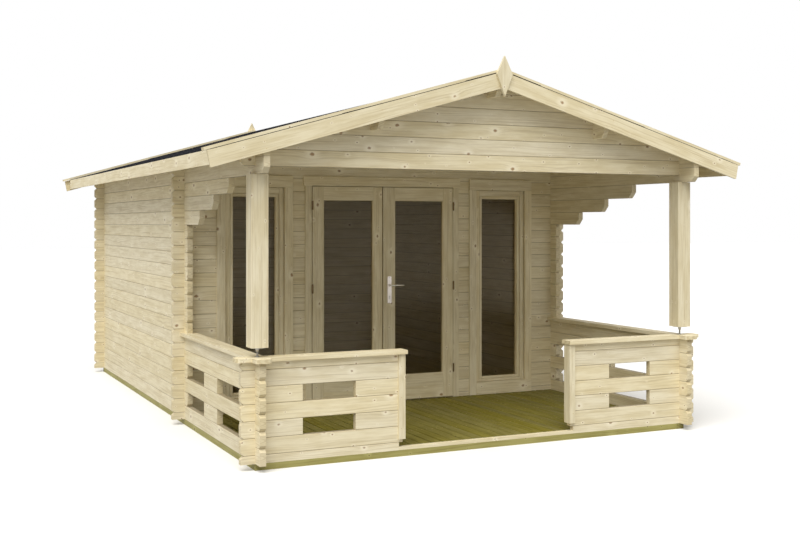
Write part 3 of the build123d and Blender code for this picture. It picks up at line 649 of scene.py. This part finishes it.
def roof_felt(side, node):
    """Two strips and a ridge strip that lap over each other, with nails along the laps."""
    place = on_slope(side)
    pieces = Pieces()
    felt_strip(pieces, place, FELT_JOIN, FELT_END, 0.0, 0.0)
    felt_strip(pieces, place, RIDGE_START, FELT_JOIN + FELT_LAP, 0.0, FELT_T)
    felt_strip(pieces, place, -(BOARD_T + FELT_T) * tan(SLOPE), RIDGE_FELT, FELT_T, FELT_T)
    for u in (FELT_JOIN + FELT_LAP - NAIL_INSET, RIDGE_FELT - NAIL_INSET):
        for i in range(NAILS):
            y = FELT_EDGE + NAIL_START + i * NAIL_PITCH
            screws.turned(NAIL_HEAD, Z, place(u, y, BOARD_T + 2 * FELT_T), 8)
    pieces.finish(node + "_strips", [felt], "cabin", "roof_felt", node)


roof_felt(-1, "left_roof_felt")
roof_felt(1, "right_roof_felt")

# Tall windows: casing boards, lining, fixed frame and sash
CASING_IN, CASING_OUT, CASING_W = 0.862, 1.530, 0.072
CASING_TOP, CASING_BOTTOM, CASING_T = 0.100, 0.114, 0.020
WINDOW_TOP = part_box("window_frames")[1].z
LINING = 0.024
LINING_LAP = 0.048
LINING_Y1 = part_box("window_frames")[1].y
SASH_Y0, SASH_Y1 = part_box("window_sashes")[0].y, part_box("window_sashes")[1].y
FIXED_W = 0.044
SASH_LINE = 0.004
SASH_BACK = 0.004
FIXED_TOP = 0.050
FIXED_LOW = 0.024
SASH_SIDE, SASH_TOP, SASH_BOTTOM = 0.072, 0.081, 0.047
REBATE_LAP = 0.001
REBATE_FRONT, REBATE_BACK = 0.014, 0.002
FRAME_EDGE = 0.002
SASH_EDGE = 0.003
LINING_GAP = 0.0005
LINING_EDGE = 0.001
REBATE_EDGE = 0.0003
CASING_SCREW_START, CASING_SCREW_PITCH, CASING_SCREWS = 0.08, 0.4, 5


def ring(pieces, side, x, z, y, widths, edge):
    """Four boards round an opening. widths are those of the sides, the top and the bottom."""
    side_w, top_w, bottom_w = widths
    xs = [side * v for v in x]
    for x0, x1 in ((xs[0], xs[0] + side * side_w), (xs[1] - side * side_w, xs[1])):
        pieces.board((x0, x1), y, z, 1, edge)
    inner = (xs[0] + side * side_w, xs[1] - side * side_w)
    pieces.board(inner, y, (z[1] - top_w, z[1]), 0, edge)
    pieces.board(inner, y, (z[0], z[0] + bottom_w), 0, edge)


def within(x, low, high, inset, top_inset, low_inset):
    """The pairs of x and z of a ring that lies inside another one."""
    return (x[0] + inset, x[1] - inset), (low + low_inset, high - top_inset)


def windows():
    """Both tall windows, with fine lines between lining, fixed frame and sash."""
    casings = Pieces()
    sashes = Pieces()
    for side in (-1, 1):
        y = (Y_ROOM - CASING_T, Y_ROOM)
        top_z = WINDOW_TOP - CASING_TOP
        low_z = Z_FLOOR + CASING_BOTTOM
        x_in = (side * CASING_IN, side * (CASING_IN + CASING_W))
        x_out = (side * (CASING_OUT - CASING_W), side * CASING_OUT)
        casings.board((x_in[0], x_out[1]), y, (top_z, WINDOW_TOP), 0, FRAME_EDGE)
        casings.board(x_in, y, (Z_FLOOR, top_z), 1, FRAME_EDGE)
        casings.board(x_out, y, (low_z, top_z), 1, FRAME_EDGE)
        casings.board((x_in[1], x_out[1]), y, (Z_FLOOR, low_z), 0, FRAME_EDGE)
        for x0, x1 in (x_in, x_out):
            for i in range(CASING_SCREWS):
                z = low_z + CASING_SCREW_START + i * CASING_SCREW_PITCH
                screw(Y, ((x0 + x1) / 2, Y_ROOM - CASING_T, z), -1)
        sash_x = (CASING_IN + CASING_W, CASING_OUT - CASING_W)
        lining_x = (sash_x[0] - LINING, sash_x[1] + LINING)
        lining_z = (low_z - LINING_LAP, top_z + LINING_LAP)
        lining_w = (LINING, LINING_LAP, LINING_LAP)
        depth = (Y_ROOM + LINING_GAP, LINING_Y1)
        ring(casings, side, lining_x, lining_z, depth, lining_w, LINING_EDGE)
        fixed_w = (FIXED_W - SASH_LINE, FIXED_TOP - SASH_LINE, FIXED_LOW - SASH_LINE)
        inner_w = (SASH_SIDE - FIXED_W - SASH_LINE, SASH_TOP - FIXED_TOP - SASH_LINE,
                   SASH_BOTTOM - FIXED_LOW - SASH_LINE)
        depth = (SASH_Y0, SASH_Y1)
        ring(sashes, side, *within(sash_x, low_z, top_z, SASH_LINE, SASH_LINE, SASH_LINE),
             depth, fixed_w, FRAME_EDGE)
        lines = (FIXED_W + SASH_LINE, FIXED_TOP + SASH_LINE, FIXED_LOW + SASH_LINE)
        depth = (SASH_Y0 + SASH_BACK, SASH_Y1)
        ring(sashes, side, *within(sash_x, low_z, top_z, *lines), depth, inner_w, SASH_EDGE)
        # Rebates that close the lines between lining, fixed frame and sash
        depth = (SASH_Y0 + REBATE_FRONT, SASH_Y1 - REBATE_BACK)
        line_w = (SASH_LINE + 2 * REBATE_LAP,) * 3
        for insets in ((-REBATE_LAP,) * 3, [v - SASH_LINE - REBATE_LAP for v in lines]):
            ring(sashes, side, *within(sash_x, low_z, top_z, *insets), depth, line_w, REBATE_EDGE)
    casings.finish("window_casings", [board_x, board_z], "cabin", "spruce", "window_frames")
    sashes.finish("window_sash_boards", [board_x, board_z], "cabin", "spruce", "window_sashes")


windows()

# Door leaves: stiles, rails and beads
LEAF_Y0, LEAF_Y1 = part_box("left_leaf")[0].y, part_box("left_leaf")[1].y
LEAF_Z0, LEAF_Z1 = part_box("left_leaf")[0].z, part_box("left_leaf")[1].z
GLASS_LAP = 0.008
RAIL_LINE = Z_LOG + 0.138
RAIL_EDGE = 0.0025
BEAD_W = 0.005
BEAD_SUNK = 0.003
BEAD_EDGE = 0.0012


def leaf(name, body):
    """One door leaf round its pane."""
    low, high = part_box(name)
    pane_low, pane_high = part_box(name + "_glass")
    g0, g1 = pane_low.x + GLASS_LAP, pane_high.x - GLASS_LAP
    z0, z1 = pane_low.z + GLASS_LAP, pane_high.z - GLASS_LAP
    y = (LEAF_Y0, LEAF_Y1)
    pieces = Pieces()
    pieces.board((low.x, g0), y, (LEAF_Z0, LEAF_Z1), 1)
    pieces.board((g1, high.x), y, (LEAF_Z0, LEAF_Z1), 1)
    pieces.board((g0, g1), y, (z1, LEAF_Z1), 0)
    pieces.board((g0, g1), y, (LEAF_Z0, RAIL_LINE), 0, RAIL_EDGE)
    pieces.board((g0, g1), y, (RAIL_LINE, z0), 0, RAIL_EDGE)
    for y0, y1 in ((LEAF_Y0 + BEAD_SUNK, pane_low.y), (pane_high.y, LEAF_Y1 - BEAD_SUNK)):
        ring(pieces, 1, (g0, g1), (z0, z1), (y0, y1), (BEAD_W,) * 3, BEAD_EDGE)
    pieces.finish(name + "_boards", [board_x, board_z], body, "spruce", name)


leaf("left_leaf", "left_door")
leaf("right_leaf", "right_door")

# Lift-off hinges: round barrels with caps, and their plates
HINGE_R = 0.007
HINGE_X = 0.687
HINGE_Y = LEAF_Y0 - 0.009
HINGE_HALF = 0.040
HINGE_PLATE = 0.036
HINGE_PLATE_IN = 0.020
METAL_EDGE = 0.0003
HINGE_MOUTH = 0.0062
HINGE_CAP = [(HINGE_R, 0.0012), (HINGE_R, HINGE_PLATE), (0.0055, 0.038), (0.0048, 0.0385),
             (0.0055, 0.039), (0.004, HINGE_HALF)]
HINGE_HEIGHTS = [Z_LOG + height for height in (0.290, 1.042, 1.764)]
HINGE_SPLIT = 0.0003
LEAF_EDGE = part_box("right_leaf")[1].x
DOOR_CLEAR = 0.690


def hinges(name, body, node, sides, upper):
    """The upper halves ride on a leaf, the lower ones stay on the jambs."""
    pieces = Pieces()
    for side in sides:
        for z in HINGE_HEIGHTS:
            if upper:
                profile = [(HINGE_MOUTH, HINGE_SPLIT)] + HINGE_CAP
                plate_x = (side * LEAF_EDGE, side * HINGE_X)
                plate_z = (z + HINGE_SPLIT, z + HINGE_PLATE)
            else:
                profile = [(r, -d) for r, d in reversed(HINGE_CAP)] + [(HINGE_MOUTH, 0.0)]
                plate_x = (side * HINGE_X, side * DOOR_CLEAR)
                plate_z = (z - HINGE_PLATE, z)
            pieces.turned(profile, Z, (side * HINGE_X, HINGE_Y, z), 20)
            pieces.board(plate_x, (HINGE_Y, LEAF_Y0 + HINGE_PLATE_IN), plate_z, 0, METAL_EDGE)
    pieces.finish(name, [dark_steel], body, "steel", node)


hinges("hinge_pins", "cabin", "frame_hinges", (-1, 1), False)
hinges("left_hinge_barrels", "left_door", "left_leaf_hinges", (-1,), True)
hinges("right_hinge_barrels", "right_door", "right_leaf_hinges", (1,), True)


# Handle plates with a keyhole, and the lever
def rounded(mid_x, mid_z, half_x, half_z, radius, steps=6):
    """Outline of a rectangle with rounded corners, as (x, z) points."""
    out = []
    for turn, (sx, sz) in enumerate(((1, 1), (-1, 1), (-1, -1), (1, -1))):
        for i in range(steps + 1):
            angle = pi / 2 * (turn + i / steps)
            out.append((mid_x + sx * (half_x - radius) + radius * cos(angle),
                        mid_z + sz * (half_z - radius) + radius * sin(angle)))
    return out


PLATE_X = 0.045
PLATE_Z = Z_LOG + 1.016
LEVER_Z = Z_LOG + 1.057
KEY_Z = Z_LOG + 0.955
PLATE_T = 0.004
PLATE_HALF_W, PLATE_HALF_H, PLATE_CORNER = 0.020, 0.120, 0.006
PLATE_EDGE = 0.0012
PLATE_SCREW = 0.110
BARREL_SUNK, BARREL_PROUD = 0.001, 0.002
KEYWAY_PROUD = 0.0026
LEVER_GAP = 0.0003
LEVER_BACK = 0.0045
LEVER_HEEL = 0.0075
LEVER_END = 0.001
ARM_STEPS, ARM_SIDES = 14, 16
ARM_HALF, ARM_HALF_TAPER = 0.0060, 0.0024
ARM_DEEP, ARM_DEEP_TAPER = 0.0044, 0.0012
ARM_END_SHARE = 0.55
LEVER_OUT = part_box("door_lever")[0].y
LEVER_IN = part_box("door_lever")[1].y
LEVER_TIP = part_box("door_lever")[1].x


def handle_plates():
    """A long plate on each face, with collar, lock cylinder and two screws."""
    pieces = Pieces()
    for face, out in ((LEAF_Y0, -1), (LEAF_Y1, 1)):
        front = face + out * PLATE_T
        y0, y1 = sorted((face, front))
        outline = rounded(PLATE_X, PLATE_Z, PLATE_HALF_W, PLATE_HALF_H, PLATE_CORNER)
        pieces.plate(outline, y0, y1, PLATE_EDGE)
        collar = [(0.0125, -0.0002), (0.0125, 0.0014), (0.0115, 0.0022), (0.0095, 0.0024)]
        pieces.turned([(r, out * d) for r, d in collar], Y, (PLATE_X, front, LEVER_Z), 24)
        # Lock cylinder, proud of the plate, with its keyway
        y0, y1 = sorted((front - out * BARREL_SUNK, front + out * BARREL_PROUD))
        barrel = [(-0.0085, 0.0), (-0.006, 0.006), (0.0, 0.0085), (0.006, 0.006), (0.0085, 0.0),
                  (0.005, -0.007), (0.005, -0.019), (0.0, -0.024), (-0.005, -0.019),
                  (-0.005, -0.007)]
        pieces.plate([(PLATE_X + x, KEY_Z + z) for x, z in barrel], y0, y1, METAL_EDGE, 1)
        y0, y1 = sorted((front + out * BARREL_SUNK, front + out * KEYWAY_PROUD))
        pieces.plate(rounded(PLATE_X, KEY_Z, 0.0012, 0.0045, 0.001, 2), y0, y1, 0.0002, 2)
        for z in (PLATE_Z - PLATE_SCREW, PLATE_Z + PLATE_SCREW):
            head = [(0.0035, -0.0005), (0.0035, 0.0006), (0.0028, 0.0011), (0.0012, 0.0012)]
            pieces.turned([(r, out * d) for r, d in head], Y, (PLATE_X, front, z), 14, 1)
    pieces.finish("handle_plate_set", [satin, zinc, dark_steel], "right_door", "steel",
                  "handle_plates")


def lever():
    """Two arms that taper to their tips, each on a round neck."""
    pieces = Pieces()
    for face, out, reach in ((LEAF_Y0, -1, LEVER_OUT), (LEAF_Y1, 1, LEVER_IN)):
        start = face + out * (PLATE_T + LEVER_GAP)
        middle = reach - out * LEVER_BACK
        length = abs(middle - start)
        neck = [(0.0080, 0.0), (0.0076, 0.004), (0.0066, 0.012), (0.0062, length - 0.006),
                (0.0060, length)]
        pieces.turned([(r, out * d) for r, d in neck], Y, (PLATE_X, start, LEVER_Z), 20)
        loops = []
        tip_x = LEVER_TIP - LEVER_END
        heel_x = PLATE_X - LEVER_HEEL
        for i in range(ARM_STEPS + 1):
            share = i / ARM_STEPS
            x = heel_x + (tip_x - heel_x) * share
            half = ARM_HALF - ARM_HALF_TAPER * share
            if i in (0, ARM_STEPS):
                half = half * ARM_END_SHARE
            deep = ARM_DEEP - ARM_DEEP_TAPER * share
            loop = []
            for k in range(ARM_SIDES):
                angle = 2 * pi * k / ARM_SIDES
                loop.append((x, middle + deep * cos(angle), LEVER_Z + half * sin(angle)))
            loops.append(loop)
        pieces.loft(loops)
    pieces.finish("lever_arms", [bright], "lever", "steel", "door_lever")


handle_plates()
lever()


FOOT_BASE = [(0.018, 0.0), (0.018, 0.004), (0.017, 0.005), (0.008, 0.0055)]
FOOT_TURNS = 22
THREAD_START = 0.004
THREAD_SHORT = 0.012
FOOT_PLATE_HALF = 0.040
FOOT_PLATE_T = 0.005


def post_feet():
    """Screw feet of the posts: base, threaded rod, cone, nut and plate."""
    low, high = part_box("post_feet")
    post = HALF_W - LOG_T / 2
    height = high.z - low.z
    pieces = Pieces()
    for x in (-post, post):
        centre = (x, Y_FRONT + LOG_T / 2, low.z)
        pieces.turned(FOOT_BASE, Z, centre, 28)
        thread = []
        for i in range(FOOT_TURNS):
            z = THREAD_START + (height - THREAD_SHORT) * i / FOOT_TURNS
            thread += [(0.0062, z), (0.0072, z + 0.0009), (0.0072, z + 0.0014)]
        pieces.turned(thread, Z, centre, 16)
        pieces.turned([(0.0078, height - 0.030), (0.009, height - 0.028), (0.0128, height - 0.016)],
                      Z, centre, 24)
        nut = [(0.0112, height - 0.016), (0.013, height - 0.0148), (0.013, height - 0.0062),
               (0.0112, height - 0.005)]
        pieces.turned(nut, Z, centre, 6)
        mid_y = centre[1]
        pieces.board((x - FOOT_PLATE_HALF, x + FOOT_PLATE_HALF),
                     (mid_y - FOOT_PLATE_HALF, mid_y + FOOT_PLATE_HALF),
                     (high.z - FOOT_PLATE_T, high.z), 0, 0.0008)
    pieces.finish("post_screw_feet", [zinc], "cabin", "steel", "post_feet")


post_feet()


# Places of the screws in the trim
PURLINS = (0.03, 0.938, 1.778)
BARGE_LIFTS = (-0.070, -0.020)
BARGE_SHIFT = 0.03
LATH_START, LATH_PITCH, LATH_INSET, LATH_LIFT = 0.15, 0.4, 0.030, 0.043
LATH_SCREWS = 6
FASCIA_START, FASCIA_PITCH, FASCIA_Z = 0.3, 0.585, 2.095
FASCIA_SCREWS = 10
ENTRANCE_X, ENTRANCE_INSET, ENTRANCE_HEIGHTS = 0.729, 0.004, (0.20, 0.42, 0.64)
TRIM_T = 0.016
FRONT_CAP_PLACES = (0.80, 1.10, 1.45, 1.86)
SIDE_CAP_PLACES = (-2.45, -2.0, -1.5, -1.1)
DOOR_CASING_X, DOOR_CASING_HEIGHTS = 0.727, (0.25, 0.65, 1.05, 1.45, 1.85)
FINIAL_HEIGHTS = (2.66, 2.79)


def trim_screws():
    """Screws in bargeboards, laths, eave boards, entrance trims, caps, door casings, finials."""
    barge_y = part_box("left_bargeboards")[1].y
    for side in (-1, 1):
        place = on_slope(side)
        for out in (-1, 1):
            for x in PURLINS:
                for w in BARGE_LIFTS:
                    screw(Y, place(x / cos(SLOPE) + BARGE_SHIFT, out * barge_y, w), out)
            for i in range(LATH_SCREWS):
                u = LATH_START + i * LATH_PITCH
                screw(Z, place(u, out * (barge_y - LATH_INSET), LATH_LIFT), 1)
        for i in range(FASCIA_SCREWS):
            screw(X, (side * FASCIA_X, ROOF_Y0 + FASCIA_START + i * FASCIA_PITCH, FASCIA_Z), side)
        trim_x = side * ENTRANCE_X
        for z in ENTRANCE_HEIGHTS:
            screw(Y, (trim_x - side * ENTRANCE_INSET, Y_FRONT - TRIM_T, z), -1)
        cap_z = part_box("front_caps")[1].z
        for x in FRONT_CAP_PLACES:
            screw(Z, (side * x, Y_FRONT + LOG_T / 2, cap_z), 1)
        for y in SIDE_CAP_PLACES:
            screw(Z, (side * (HALF_W - LOG_T / 2), y, cap_z), 1)
        for z in DOOR_CASING_HEIGHTS:
            screw(Y, (side * DOOR_CASING_X, Y_ROOM - TRIM_T, z), -1)
    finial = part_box("finials")
    for out, y in ((-1, finial[0].y), (1, finial[1].y)):
        for z in FINIAL_HEIGHTS:
            screw(Y, (0.0, y - out * HEAD_PROUD, z), out)


trim_screws()
screws.finish("trim_screws", [screw_steel], "cabin", "steel")


# Stage: floor, lights and camera
FLOOR_HALF = 60.0
FLOOR_LIT, FLOOR_SEEN = (0.36, 0.36, 0.35, 1), (0.92, 0.92, 0.92, 1)
WORLD_LIGHT = 0.57
SUN_ENERGY = 3.1
SUN_WIDTH = radians(60)
SUN_TURN = (radians(34), 0, radians(-40))
CAMERA_PLACE = (-4.081, -9.862, 1.657)
CAMERA_TURN = (radians(90), 0, radians(-25.26))


def stage_floor():
    """A pale floor that looks white to the camera and still takes the part's shadow."""
    n = Nodes("pale_floor")
    path = n.add("ShaderNodeLightPath")
    plain = n.add("ShaderNodeBsdfDiffuse")
    seen = n.math("MAXIMUM", path.outputs["Is Camera Ray"], path.outputs["Is Glossy Ray"])
    seen = n.math("MAXIMUM", seen, path.outputs["Is Transmission Ray"])
    n.put(n.mix(seen, FLOOR_LIT, FLOOR_SEEN), plain.inputs["Color"])
    n.put(plain.outputs[0], n.out.inputs["Surface"])
    mesh = bpy.data.meshes.new("floor")
    corners = [(x * FLOOR_HALF, y * FLOOR_HALF, 0) for x, y in ((-1, -1), (1, -1), (1, 1), (-1, 1))]
    mesh.from_pydata(corners, [], [(0, 1, 2, 3)])
    mesh.materials.append(n.mat)
    obj = bpy.data.objects.new("floor", mesh)
    bpy.context.collection.objects.link(obj)


def studio_world():
    """Even pale light all round, with a white background for the camera and for reflections."""
    world = bpy.data.worlds.new("studio")
    bpy.context.scene.world = world
    world.use_nodes = True
    tree = world.node_tree
    tree.nodes.clear()
    out = tree.nodes.new("ShaderNodeOutputWorld")
    light = tree.nodes.new("ShaderNodeBackground")
    light.inputs["Color"].default_value = (1.0, 0.99, 0.97, 1)
    light.inputs["Strength"].default_value = WORLD_LIGHT
    white = tree.nodes.new("ShaderNodeBackground")
    white.inputs["Color"].default_value = (1.0, 1.0, 1.0, 1)
    white.inputs["Strength"].default_value = 1.0
    mix = tree.nodes.new("ShaderNodeMixShader")
    path = tree.nodes.new("ShaderNodeLightPath")
    seen = path.outputs["Is Camera Ray"]
    for ray in ("Is Glossy Ray", "Is Transmission Ray"):
        either = tree.nodes.new("ShaderNodeMath")
        either.operation = "MAXIMUM"
        tree.links.new(seen, either.inputs[0])
        tree.links.new(path.outputs[ray], either.inputs[1])
        seen = either.outputs[0]
    tree.links.new(seen, mix.inputs[0])
    tree.links.new(light.outputs[0], mix.inputs[1])
    tree.links.new(white.outputs[0], mix.inputs[2])
    tree.links.new(mix.outputs[0], out.inputs["Surface"])


def soft_sun():
    """A wide soft lamp, high at the front left."""
    data = bpy.data.lights.new("sun", "SUN")
    data.energy = SUN_ENERGY
    data.angle = SUN_WIDTH
    data.color = (1.0, 0.99, 0.96)
    obj = bpy.data.objects.new("sun", data)
    obj.rotation_euler = SUN_TURN
    bpy.context.collection.objects.link(obj)


def camera():
    """The photograph's viewpoint, solved from straight edges of the cabin."""
    data = bpy.data.cameras.new("camera")
    data.sensor_width = 36
    data.lens = 49.82
    data.shift_y = -0.0545
    data.clip_end = 200
    obj = bpy.data.objects.new("camera", data)
    obj.location = CAMERA_PLACE
    obj.rotation_euler = CAMERA_TURN
    bpy.context.collection.objects.link(obj)
    bpy.context.scene.camera = obj


stage_floor()
studio_world()
soft_sun()
camera()
bpy.context.scene.view_settings.view_transform = "Standard"
